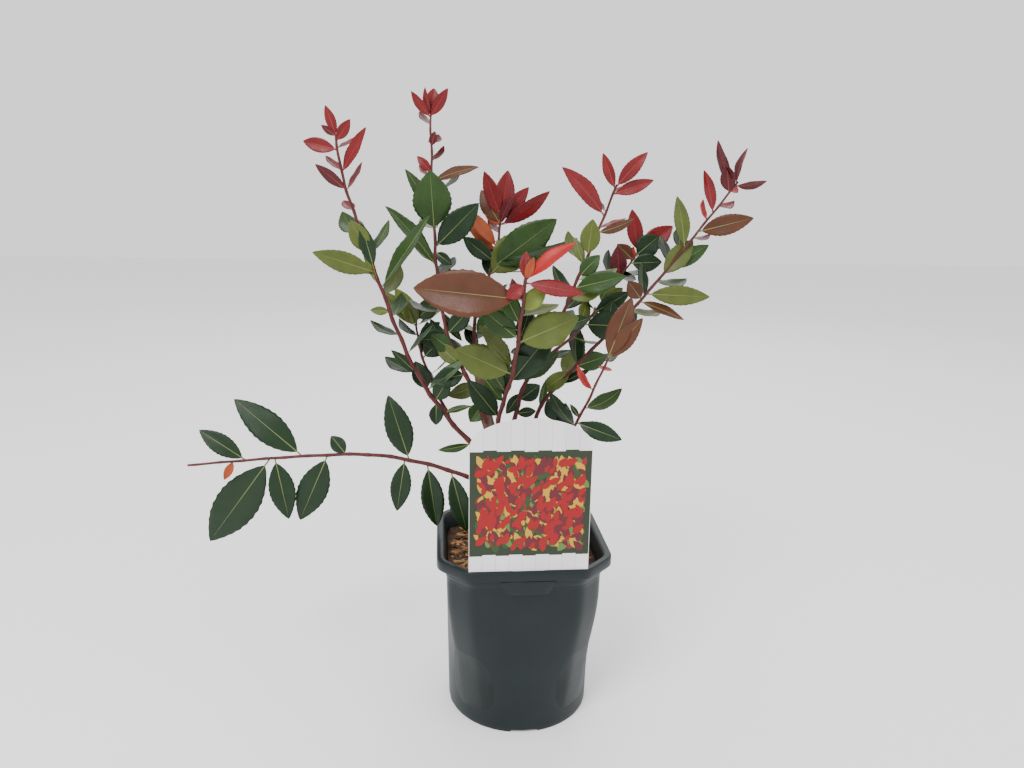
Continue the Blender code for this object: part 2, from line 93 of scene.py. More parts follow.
def material(name, color, roughness, second=None, scale=60.0, bump=0.0, bumpScale=200.0,
             stretch=(1, 1, 1), rough=0.08):
    # One noise mixes the two colours and moves the roughness by rough either way, a finer one is the relief
    made = bpy.data.materials.new(name)
    made.use_nodes = True
    nodes, links = made.node_tree.nodes, made.node_tree.links
    shader = nodes["Principled BSDF"]
    shader.inputs["Base Color"].default_value = (*color, 1)
    shader.inputs["Specular IOR Level"].default_value = finishShape["specular"]
    place = nodes.new("ShaderNodeTexCoord")
    shape = nodes.new("ShaderNodeMapping")
    shape.inputs["Scale"].default_value = stretch
    links.new(place.outputs["Object"], shape.inputs["Vector"])
    cloud = nodes.new("ShaderNodeTexNoise")
    cloud.inputs["Scale"].default_value = scale
    cloud.inputs["Detail"].default_value = finishShape["cloudDetail"]
    links.new(shape.outputs["Vector"], cloud.inputs["Vector"])
    if second:
        ramp = nodes.new("ShaderNodeValToRGB")
        ramp.color_ramp.elements[0].position = finishShape["rampFrom"]
        ramp.color_ramp.elements[0].color = (*color, 1)
        ramp.color_ramp.elements[1].position = finishShape["rampTo"]
        ramp.color_ramp.elements[1].color = (*second, 1)
        links.new(cloud.outputs["Fac"], ramp.inputs["Fac"])
        links.new(ramp.outputs["Color"], shader.inputs["Base Color"])
    spread = nodes.new("ShaderNodeMapRange")
    spread.inputs["To Min"].default_value = roughness - rough
    spread.inputs["To Max"].default_value = roughness + rough
    links.new(cloud.outputs["Fac"], spread.inputs["Value"])
    links.new(spread.outputs["Result"], shader.inputs["Roughness"])
    if bump:
        grain = nodes.new("ShaderNodeTexNoise")
        grain.inputs["Scale"].default_value = bumpScale
        grain.inputs["Detail"].default_value = finishShape["grainDetail"]
        links.new(shape.outputs["Vector"], grain.inputs["Vector"])
        relief = nodes.new("ShaderNodeBump")
        relief.inputs["Strength"].default_value = bump
        relief.inputs["Distance"].default_value = finishShape["reliefDepth"]
        links.new(grain.outputs["Fac"], relief.inputs["Height"])
        links.new(relief.outputs["Normal"], shader.inputs["Normal"])
    return made


def shaded(color, share):  # each part of the colour * share
    return tuple(c * share for c in color)


bark = material("bark", (0.050, 0.006, 0.009), 0.52, second=(0.10, 0.020, 0.015), scale=220,
                stretch=(1, 1, 0.25), bump=0.5, bumpScale=500)
oldBark = material("old_bark", (0.045, 0.026, 0.018), 0.75, second=(0.12, 0.075, 0.05), scale=260,
                   stretch=(1, 1, 0.2), bump=0.9, bumpScale=420)
potPlastic = material("pot_plastic", (0.0030, 0.0075, 0.0090), 0.42, second=(0.0050, 0.0105, 0.0120),
                      scale=26, bump=0.12, bumpScale=260, rough=0.10)
cardWhite = material("card_white", (0.80, 0.76, 0.78), 0.36, second=(0.70, 0.66, 0.68), scale=45,
                     stretch=(1, 1, 0.12))
cardSeam = material("card_seam", (0.42, 0.38, 0.41), 0.5)
cardDark = material("card_dark", (0.020, 0.030, 0.014), 0.34)


# Meshes from arrays

def addPiece(name, points, faces, finish, nodes=(), smooth=True):
    # A new object at the origin with its place in its mesh, on the root body, in place of the named nodes
    mesh = bpy.data.meshes.new(name)
    mesh.from_pydata(points.tolist(), [], faces)
    mesh.materials.append(finish)
    mesh.polygons.foreach_set("use_smooth", [smooth] * len(mesh.polygons))
    mesh.update()
    piece = bpy.data.objects.new(name, mesh)
    bpy.context.scene.collection.objects.link(piece)
    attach(piece, "root")
    if nodes:
        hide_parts(*nodes)
    return piece


def gridFaces(rows, columns, closed):  # quads of a rows by columns grid, wrapped round when closed
    down = np.arange(rows - 1)[:, None] * columns
    across = np.arange(columns if closed else columns - 1)[None, :]
    beside = (across + 1) % columns
    quads = np.stack([down + across, down + beside, down + columns + beside, down + columns + across], -1)
    return quads.reshape(-1, 4).tolist()


def repeatFaces(faces, count, size):  # the faces of one shape of size points, again for each of count shapes
    start = np.arange(count)[:, None, None] * size
    return (np.array(faces)[None] + start).reshape(-1, len(faces[0])).tolist()


def fanFaces(ring, middle, outward):  # triangles from a closed ring's points to its middle point
    beside = np.roll(ring, -1)
    pair = (ring, beside) if outward else (beside, ring)
    return np.stack([np.full(len(ring), middle), *pair], 1).tolist()


# Pot: its outline goes from a circle at the foot to a cut-cornered square under the rim

potShape = dict(height=0.180, rim=0.085, cornerLeg=0.029, neck=0.0755, base=0.0727, neckZ=0.160,
                skirtZ=0.170, flangeZ=0.178, wall=0.0016, floor=0.003, roundBelow=0.020,
                squareAbove=0.140, cornerSoft=42.0, notchWidth=0.028, notchHeight=0.002, sides=288,
                footMiddle=0.060, bodyFrom=0.006, bodyRings=26, bandOut=0.0032, insideZ=0.12,
                insideFoot=0.0712, neckRound=0.0006)
# Each edge is a run of steps, outward and upward, from a half width and a height of the pot
potEdges = dict(
    foot=[(-0.0013, 0), (-0.0005, 0.0004), (0, 0.0014)],
    neck=[(0.0003, 0), (0.0009, 0.0006), (0.0016, 0.004)],
    bandTop=[(0.0002, 0)],
    underRim=[(-0.0017, 0)],
    rimFoot=[(-0.0016, 0.0006), (-0.0011, 0), (-0.0004, 0), (0, 0.0006), (0, 0.0045)],
    rimTop=[(0, -0.0012), (-0.0004, -0.0004), (-0.0013, 0), (-0.0055, 0), (-0.0064, -0.0004)],
    insideBand=[(0, -0.0008), (-0.0016, -0.012)])
potTurn = np.linspace(0, 2 * math.pi, potShape["sides"], endpoint=False)


def potRing(half, z):
    # Reach = square * octagon + (1 - square) * half, and square is a smooth step of the height. Octagon = a
    # high power sum of how near each flat is, to the power -1 / cornerSoft, so its corners are a little soft
    p = potShape
    leg = p["cornerLeg"] - (p["rim"] - half) * (2 - math.sqrt(2))
    flat = np.stack([abs(np.cos(potTurn)) / half, abs(np.sin(potTurn)) / half,
                     (abs(np.cos(potTurn)) + abs(np.sin(potTurn))) / (2 * half - leg)])
    octagon = np.sum(flat ** p["cornerSoft"], 0) ** (-1 / p["cornerSoft"])
    share = min(1.0, max(0.0, (z - p["roundBelow"]) / (p["squareAbove"] - p["roundBelow"])))
    square = share * share * (3 - 2 * share)
    reach = square * octagon + (1 - square) * half
    return np.stack([reach * np.cos(potTurn), reach * np.sin(potTurn), np.full_like(reach, z)], 1)


def bodyHalf(z):  # the body widens evenly from the base to the neck
    return potShape["base"] + (potShape["neck"] - potShape["base"]) * z / potShape["neckZ"]


def potEdge(name, half, z):  # the named edge's steps, from half and z
    return [(half + out, z + up) for out, up in potEdges[name]]


def makePot():  # rings up the outside, over the rim and down the inside, closed at both ends
    p = potShape
    band = p["neck"] + p["bandOut"]
    lastBody = p["neckZ"] - p["neckRound"]
    profile = [(p["footMiddle"], 0.0)] + potEdge("foot", p["base"], 0.0)
    profile += [(bodyHalf(z), z) for z in np.linspace(p["bodyFrom"], lastBody, p["bodyRings"])]
    profile += potEdge("neck", p["neck"], p["neckZ"]) + [(band, p["skirtZ"])]
    profile += potEdge("bandTop", band, p["flangeZ"]) + potEdge("underRim", p["rim"], p["flangeZ"])
    profile += potEdge("rimFoot", p["rim"], p["skirtZ"]) + potEdge("rimTop", p["rim"], p["height"])
    profile += potEdge("insideBand", band - p["wall"], p["flangeZ"])
    profile += [(p["neck"] - p["wall"], p["neckZ"]), (bodyHalf(p["insideZ"]) - p["wall"], p["insideZ"]),
                (p["insideFoot"], p["floor"])]
    rings = np.array([potRing(half, z) for half, z in profile])
    # The foot has a low notch in the middle of each side
    foot = rings[1:1 + len(potEdges["foot"])]
    aside = np.minimum(abs(foot[:, :, 0]), abs(foot[:, :, 1]))
    foot[:, :, 2] += np.where(aside < p["notchWidth"] / 2, p["notchHeight"], 0)
    points = np.concatenate([rings.reshape(-1, 3), [[0, 0, 0], [0, 0, p["floor"]]]])
    ring, count = np.arange(p["sides"]), len(profile) * p["sides"]
    faces = (gridFaces(len(profile), p["sides"], True) + fanFaces(ring, count, False)
             + fanFaces(count - p["sides"] + ring, count + 1, True))
    addPiece("nursery_pot", points, faces, potPlastic, ["pot"])


# Tab that holds the card: each layer is a share of the outline's size, and its place from back to front
tab = dict(top=0.1697, bottom=0.1562, halfTop=0.02625, halfBottom=0.019, soft=0.0028, steps=6,
           layers=((1.0, -0.0792), (1.0, -0.0845), (0.985, -0.0850), (0.6, -0.0852), (0.0, -0.0852)))


def makeTab():  # a trapezoid with two round corners, its front face bulging a little at the middle
    t = tab
    slant = np.linspace(0, 1, t["steps"])
    corner = np.linspace(0, math.pi / 2, t["steps"])[1:]
    inward = t["halfTop"] - t["halfBottom"] - t["soft"] * 0.5
    down = t["top"] - t["bottom"] - t["soft"]
    left = [(-t["halfTop"] + inward * s, t["top"] - down * s) for s in slant]
    left += [(-t["halfBottom"] + t["soft"] * 0.5 - t["soft"] * math.cos(a),
              t["bottom"] + t["soft"] - t["soft"] * math.sin(a)) for a in corner]
    outline = np.array(left + [(-x, z) for x, z in reversed(left)])
    middle = np.array([0.0, (t["top"] + t["bottom"]) / 2])
    layers = []
    for scale, y in t["layers"]:
        flat = middle + (outline - middle) * scale
        layers.append(np.stack([flat[:, 0], np.full(len(flat), y), flat[:, 1]], 1))
    addPiece("label_tab", np.concatenate(layers), gridFaces(len(layers), len(outline), True), potPlastic,
             ["label_pocket"])


print("stage: pot")
makePot()
makeTab()


# Mulch: a lumpy bed with chips strewn on it. A chip's length, width and depth are given as halves, and
# each kind of chip has a colour and its part of the count

mulch = dict(top=0.1625, half=0.0741, lump=0.0012, rings=26, wallZ=0.155, outlineZ=0.161, everySide=3,
             innermost=0.02, lift=0.0008, reach=0.95, fromMiddle=0.03, edge=0.002, chips=1500, shade=0.5,
             length=(0.004, 0.013), width=(0.0008, 0.0022), depth=(0.0004, 0.0010), pitch=0.35,
             crossed=(210, 170), shift=1, slanting=(140, 330), slantingSize=0.6)
chipKinds = dict(straw=((0.34, 0.19, 0.075), 0.30), orangeBark=((0.22, 0.085, 0.025), 0.35),
                 darkBark=((0.055, 0.026, 0.014), 0.35))
# A chip: a point at each end of a box, in shares of its half length, width and depth
chipCorners = np.array([(-1, 0, 0), (-0.6, -1, -1), (-0.6, 1, -1), (-0.6, 1, 1), (-0.6, -1, 1),
                        (0.7, -1, -1), (0.7, 1, -1), (0.7, 1, 1), (0.7, -1, 1), (1, 0.2, 0)])
chipSides = [(5, 6, 2, 1), (6, 7, 3, 2), (7, 8, 4, 3), (8, 5, 1, 4)]
chipEnds = [(1, 2, 0), (2, 3, 0), (3, 4, 0), (4, 1, 0), (6, 5, 9), (7, 6, 9), (8, 7, 9), (5, 8, 9)]


def bedHeight(x, y):  # top + lump * (a crossed wave + a smaller wave that slants)
    crossed = np.sin(x * mulch["crossed"][0] + mulch["shift"]) * np.cos(y * mulch["crossed"][1])
    slanting = np.sin(y * mulch["slanting"][1] + x * mulch["slanting"][0])
    return mulch["top"] + mulch["lump"] * (crossed + mulch["slantingSize"] * slanting)


def makeBed():  # the pot's outline in ever smaller copies at the bed's height, on a low wall
    outline = potRing(mulch["half"], mulch["outlineZ"])[::mulch["everySide"]]
    scales = np.linspace(1, mulch["innermost"], mulch["rings"])
    rings = outline[None, :, :] * np.stack([scales, scales, np.ones_like(scales)], 1)[:, None, :]
    rings[:, :, 2] = bedHeight(rings[:, :, 0], rings[:, :, 1])
    wall = outline.copy()
    wall[:, 2] = mulch["wallZ"]
    bed = material("mulch_bed", (0.030, 0.016, 0.009), 0.9, second=(0.085, 0.042, 0.018), scale=150,
                   bump=1.0, bumpScale=260)
    addPiece("mulch_bed", np.concatenate([wall[None], rings]).reshape(-1, 3),
             gridFaces(mulch["rings"] + 1, len(outline), True), bed, ["soil"])


def makeChips(name, color, part):
    # Point = place + along, side and up * corner * size, at random places spread evenly over a disc. A chip
    # near the edge is shortened to the room that it has
    count = int(mulch["chips"] * part)
    radius = mulch["half"] * np.sqrt(dice.uniform(mulch["fromMiddle"], 1.0, count)) * mulch["reach"]
    around = dice.uniform(0, 2 * math.pi, count)
    spot = np.stack([radius * np.cos(around), radius * np.sin(around)], 1)
    size = np.stack([dice.uniform(*mulch[way], count) for way in ("length", "width", "depth")], 1)
    edge = (mulch["half"] - mulch["edge"]) - np.abs(spot).max(1)
    size[:, 0] = np.minimum(size[:, 0], np.maximum(edge, mulch["edge"]))
    heading = dice.uniform(0, 2 * math.pi, count)
    pitch = dice.uniform(-mulch["pitch"], mulch["pitch"], count)
    along = np.stack([np.cos(heading) * np.cos(pitch), np.sin(heading) * np.cos(pitch), np.sin(pitch)], 1)
    side = np.stack([-np.sin(heading), np.cos(heading), np.zeros(count)], 1)
    place = np.column_stack([spot, bedHeight(spot[:, 0], spot[:, 1]) + mulch["lift"]])
    points = place[:, None, :]
    for axis, way in enumerate((along, side, np.cross(along, side))):
        points = points + chipCorners[None, :, axis:axis + 1] * size[:, None, axis:axis + 1] * way[:, None, :]
    faces = (repeatFaces(chipSides, count, len(chipCorners))
             + repeatFaces(chipEnds, count, len(chipCorners)))
    chip = material("chip_" + name, color, 0.85, second=shaded(color, mulch["shade"]), scale=300)
    addPiece("chips_" + name, points.reshape(-1, 3), faces, chip, smooth=False)


print("stage: mulch")
makeBed()
for kind, (chipColor, chipPart) in chipKinds.items():
    makeChips(kind, chipColor, chipPart)


# Card: an arched plate painted as planks, with a panel of plain leaf shapes

card = dict(width=0.111, foot=0.1803, straight=0.119, arch=0.027, thick=0.0006, y=-0.0822, planks=9,
            panelLow=0.196, panelHigh=0.2965, step=0.0011, margin=0.0004, archSteps=60, tongueTop=0.015,
            tongueFoot=0.012, tongueZ=0.160, panelThick=0.00005, seamThick=0.00004, seamFoot=0.00016,
            seamTop=0.00012, seamClear=0.0004, archClear=0.0006, stepVary=0.4, stepTurn=2.1, topStep=1.1)
motif = dict(count=840, length=(0.007, 0.0145), half=0.25, steps=7, tipPower=0.8, sidePower=0.9,
             spread=0.5, redLean=0.35, otherLean=-0.5, aside=0.0075, above=0.0085, first=0.00008,
             apart=0.0000006, roughness=0.33)
inks = dict(ink_rose=(0.22, 0.010, 0.020), ink_green=(0.10, 0.16, 0.035), ink_leaf=(0.025, 0.055, 0.015),
            ink_yellow=(0.45, 0.26, 0.02), ink_wine=(0.10, 0.012, 0.018), ink_red=(0.26, 0.006, 0.008))
cardHalf, shoulder = card["width"] / 2, card["foot"] + card["straight"]
cardFront, cardBack = card["y"] - card["thick"] / 2, card["y"] + card["thick"] / 2


def flatPlate(name, outline, front, back, finish, nodes=()):  # an outline in X and Z between two planes
    count = len(outline)
    near = np.column_stack([outline[:, 0], np.full(count, front), outline[:, 1]])
    far = np.column_stack([outline[:, 0], np.full(count, back), outline[:, 1]])
    beside = (np.arange(count) + 1) % count
    walls = np.stack([np.arange(count), np.arange(count) + count, beside + count, beside], 1).tolist()
    faces = [list(range(count)), list(range(2 * count - 1, count - 1, -1))] + walls
    addPiece(name, np.concatenate([near, far]), faces, finish, nodes, smooth=False)


def makePlate():  # straight sides under half an ellipse, on a tongue that goes down into the tab
    sweep = np.linspace(0, math.pi, card["archSteps"])
    arch = np.column_stack([cardHalf * np.cos(sweep), shoulder + card["arch"] * np.sin(sweep)])
    foot = np.array([(-cardHalf, card["foot"]), (-card["tongueTop"], card["foot"]),
                     (-card["tongueFoot"], card["tongueZ"]), (card["tongueFoot"], card["tongueZ"]),
                     (card["tongueTop"], card["foot"]), (cardHalf, card["foot"])])
    flatPlate("plank_card", np.concatenate([foot, arch]), cardFront, cardBack, cardWhite, ["label_card"])


def makePanel():  # one strip a plank, each a little higher or lower than its neighbour, and seams between
    plank = card["width"] / card["planks"]
    for i in range(card["planks"]):
        left = -cardHalf + i * plank
        uneven = 1 + card["stepVary"] * math.sin(i * card["stepTurn"])
        lift = card["step"] * (0.5 if i % 2 else -0.5) * uneven
        low, high = card["panelLow"] + lift, card["panelHigh"] + lift * card["topStep"]
        start = left + (0 if i else card["margin"])
        end = left + plank - (card["margin"] if i == card["planks"] - 1 else 0)
        strip = np.array([(start, low), (end, low), (end, high), (start, high)])
        flatPlate(f"panel_{i}", strip, cardFront - card["panelThick"], cardFront, cardDark)
        if i:
            across = math.sqrt(max(0, 1 - (left / cardHalf) ** 2))
            rise = shoulder + card["arch"] * across - card["archClear"]
            for number, (foot, top) in enumerate(((card["foot"] + card["seamClear"], low), (high, rise))):
                seam = np.array([(left - card["seamFoot"], foot), (left + card["seamFoot"], foot),
                                 (left + card["seamTop"], top), (left - card["seamTop"], top)])
                flatPlate(f"seam_{i}_{number}", seam, cardFront - card["seamThick"], cardFront, cardSeam)


def makeMotifs():
    # Half width = length * half * sin(pi * v ^ tipPower) ^ sidePower, and each leaf is turned by its own lean
    v = np.linspace(0, 1, motif["steps"])
    wide = motif["half"] * np.sin(math.pi * v ** motif["tipPower"]) ** motif["sidePower"]
    outline = np.concatenate([np.stack([wide, v - 0.5], 1), np.stack([-wide[-2:0:-1], v[-2:0:-1] - 0.5], 1)])
    count = motif["count"] // len(inks)
    for layer, (name, color) in enumerate(inks.items()):
        length = dice.uniform(*motif["length"], count)
        tilt = motif["redLean"] if "red" in name or "rose" in name else motif["otherLean"]
        lean = dice.normal(tilt, motif["spread"], count)
        x = dice.uniform(-cardHalf + motif["aside"], cardHalf - motif["aside"], count)
        z = dice.uniform(card["panelLow"] + motif["above"], card["panelHigh"] - motif["above"], count)
        leafX = outline[None, :, 0] * length[:, None]
        leafZ = outline[None, :, 1] * length[:, None]
        cardX = x[:, None] + leafX * np.cos(lean)[:, None] + leafZ * np.sin(lean)[:, None]
        cardZ = z[:, None] - leafX * np.sin(lean)[:, None] + leafZ * np.cos(lean)[:, None]
        order = layer * count + np.arange(count)
        cardY = cardFront - motif["first"] - motif["apart"] * order[:, None] + cardX * 0
        addPiece("motif_" + name, np.stack([cardX, cardY, cardZ], -1).reshape(-1, 3),
                 repeatFaces([list(range(len(outline)))], count, len(outline)),
                 material(name, color, motif["roughness"]), smooth=False)


print("stage: card")
makePlate()
makePanel()
makeMotifs()


# Wood: stations, radii and flare in millimetres, other lengths in metres. A bough begins at a share of the
# way up its parent, and its radii are those of its foot and its tip

millimetres = 1000  # in a metre
trunkSpec = dict(radii=(8.5, 5.3), flare=5.5, flareShare=0.10, sides=22, ripple=0.035, foot=0.1625, stations=[
    (1, 0, 160), (-5, 1, 190), (-14, 3, 225), (-25, 5, 268), (-37, 7, 312), (-43, 8, 353)])
boughs = dict(
    bough_low_left=dict(parent="trunk", at=0.31, radii=(2.4, 1.1), stations=[
        (-53, -1, 242), (-92, -3, 257), (-148, -6, 269), (-221, -9, 269), (-319, -15, 264)]),
    bough_left=dict(parent="trunk", at=0.44, radii=(2.8, 1.1), stations=[
        (-68, 2, 297), (-108, -2, 360), (-143, -9, 456), (-165, -16, 528), (-170, -19, 565)]),
    bough_back_left=dict(parent="bough_left", at=0.21, radii=(1.8, 1.0), stations=[
        (-94, 31, 346), (-104, 52, 379), (-104, 68, 400)]),
    bough_tall=dict(parent="trunk", at=0.64, radii=(2.5, 1.0), stations=[
        (-50, -2, 336), (-73, 14, 383), (-83, 30, 440), (-87, 44, 512), (-89, 54, 592)]),
    bough_back=dict(parent="trunk", at=0.84, radii=(2.4, 1.1), stations=[
        (-43, 34, 352), (-44, 64, 403), (-24, 83, 450), (-15, 96, 503)]),
    bough_front=dict(parent="trunk", at=0.50, radii=(2.6, 1.3), stations=[
        (-26, -33, 310), (-17, -74, 367), (-14, -99, 412), (-12, -118, 453)]),
    bough_right=dict(parent="trunk", at=0.36, radii=(2.8, 1.0), stations=[
        (-8, -11, 308), (1, -18, 344), (26, -30, 397), (49, -42, 460), (73, -52, 528)]),
    bough_back_right=dict(parent="bough_right", at=0.44, radii=(1.7, 0.9), stations=[
        (55, 5, 391), (97, 46, 431), (130, 82, 463)]),
    bough_far_right=dict(parent="trunk", at=0.25, radii=(2.5, 1.0), stations=[
        (16, 11, 303), (50, 11, 349), (113, 9, 417), (163, 11, 479), (205, 11, 534)]),
    bough_low_right=dict(parent="trunk", at=0.17, radii=(2.0, 1.0), stations=[
        (30, -33, 275), (46, -50, 314), (54, -67, 342), (64, -89, 382)]))
boughShape = dict(sides=12, ripple=0.02, step=0.0022, nodeEvery=9, swell=0.16, swellWidth=1.5,
                  kink=0.0005, kinkWay=(1.0, 0.6, 0.2), kinkFrom=0.05)
barkWaves = ((3, 0.21, 1.0), (5, -0.37, 0.7), (2, 1.3, 0.5))  # turns round the stem, drift a ring, size
tubeGuide = np.array([0.0, 1.0, 0.1])


def smoothPath(stations):  # Catmull-Rom curve through the stations, with a point about every step
    knots = np.array(stations, float)
    knots = np.concatenate([[2 * knots[0] - knots[1]], knots, [2 * knots[-1] - knots[-2]]])
    parts = []
    for a, b, c, d in zip(knots, knots[1:], knots[2:], knots[3:]):
        count = max(2, int(np.linalg.norm(c - b) / boughShape["step"]))
        t = np.linspace(0, 1, count, endpoint=False)[:, None]
        parts.append(0.5 * (2 * b + (c - a) * t + (2 * a - 5 * b + 4 * c - d) * t ** 2
                            + (3 * b - a - 3 * c + d) * t ** 3))
    return np.concatenate(parts + [knots[-2:-1]])


def tubeMesh(path, radius, sides, ripple):
    # Rings across the path's direction, reach = radius * (1 + ripple * waves), both ends closed
    along = np.gradient(path, axis=0)
    along /= np.linalg.norm(along, axis=1)[:, None]
    side = np.cross(along, tubeGuide)
    side /= np.linalg.norm(side, axis=1)[:, None]
    up = np.cross(along, side)
    around = np.linspace(0, 2 * math.pi, sides, endpoint=False)[None]
    run = np.arange(len(path))[:, None]
    waves = sum(size * np.sin(turns * around + drift * run) for turns, drift, size in barkWaves)
    reach = (radius[:, None] * (1 + ripple * waves))[..., None]
    rings = path[:, None] + reach * (np.cos(around)[..., None] * side[:, None]
                                     + np.sin(around)[..., None] * up[:, None])
    points = np.concatenate([rings.reshape(-1, 3), path[:1], path[-1:]])
    ring, count = np.arange(sides), len(path) * sides
    faces = (gridFaces(len(path), sides, True) + fanFaces(ring, count, False)
             + fanFaces(count - sides + ring, count + 1, True))
    return points, faces


def taper(radii, share):  # even change from the radius at the foot to the radius at the tip
    return radii[0] + (radii[1] - radii[0]) * share


def makeTrunk():  # radius = taper + a root flare that dies away up the stem, cut level at the mulch
    path = smoothPath(np.array(trunkSpec["stations"]) / millimetres)
    share = np.linspace(0, 1, len(path))
    flare = trunkSpec["flare"] * np.exp(-share / trunkSpec["flareShare"])
    radius = (taper(trunkSpec["radii"], share) + flare) / millimetres
    points, faces = tubeMesh(path, radius, trunkSpec["sides"], trunkSpec["ripple"])
    points[:, 2] = np.maximum(points[:, 2], trunkSpec["foot"])
    addPiece("bark_trunk", points, faces, oldBark, ["trunk"])
    return path


def makeBough(name, spec, parent):
    # Radius = taper * (1 + a swelling at each leaf node), and the stem bends a little from node to node
    shape = boughShape
    foot = parent[int(spec["at"] * (len(parent) - 1))]
    path = smoothPath(np.concatenate([[foot], np.array(spec["stations"]) / millimetres]))
    share, run = np.linspace(0, 1, len(path)), np.arange(len(path))
    fromNode = run % shape["nodeEvery"] - shape["nodeEvery"] / 2
    swell = 1 + shape["swell"] * np.exp(-fromNode ** 2 / shape["swellWidth"])
    bend = np.sin(run * math.pi / shape["nodeEvery"])[:, None] * shape["kink"] * np.array(shape["kinkWay"])
    bent = path + bend * (share[:, None] > shape["kinkFrom"])
    radius = taper(spec["radii"], share) / millimetres * swell
    points, faces = tubeMesh(bent, radius, shape["sides"], shape["ripple"])
    addPiece("bark_" + name, points, faces, bark, [name])
    return path


print("stage: wood")
paths = dict(trunk=makeTrunk())
for boughName, boughSpec in boughs.items():
    paths[boughName] = makeBough(boughName, boughSpec, paths[boughSpec["parent"]])


# Leaves on the front: foot x and y, tip x and y and seen width in pixels of the picture, and tint

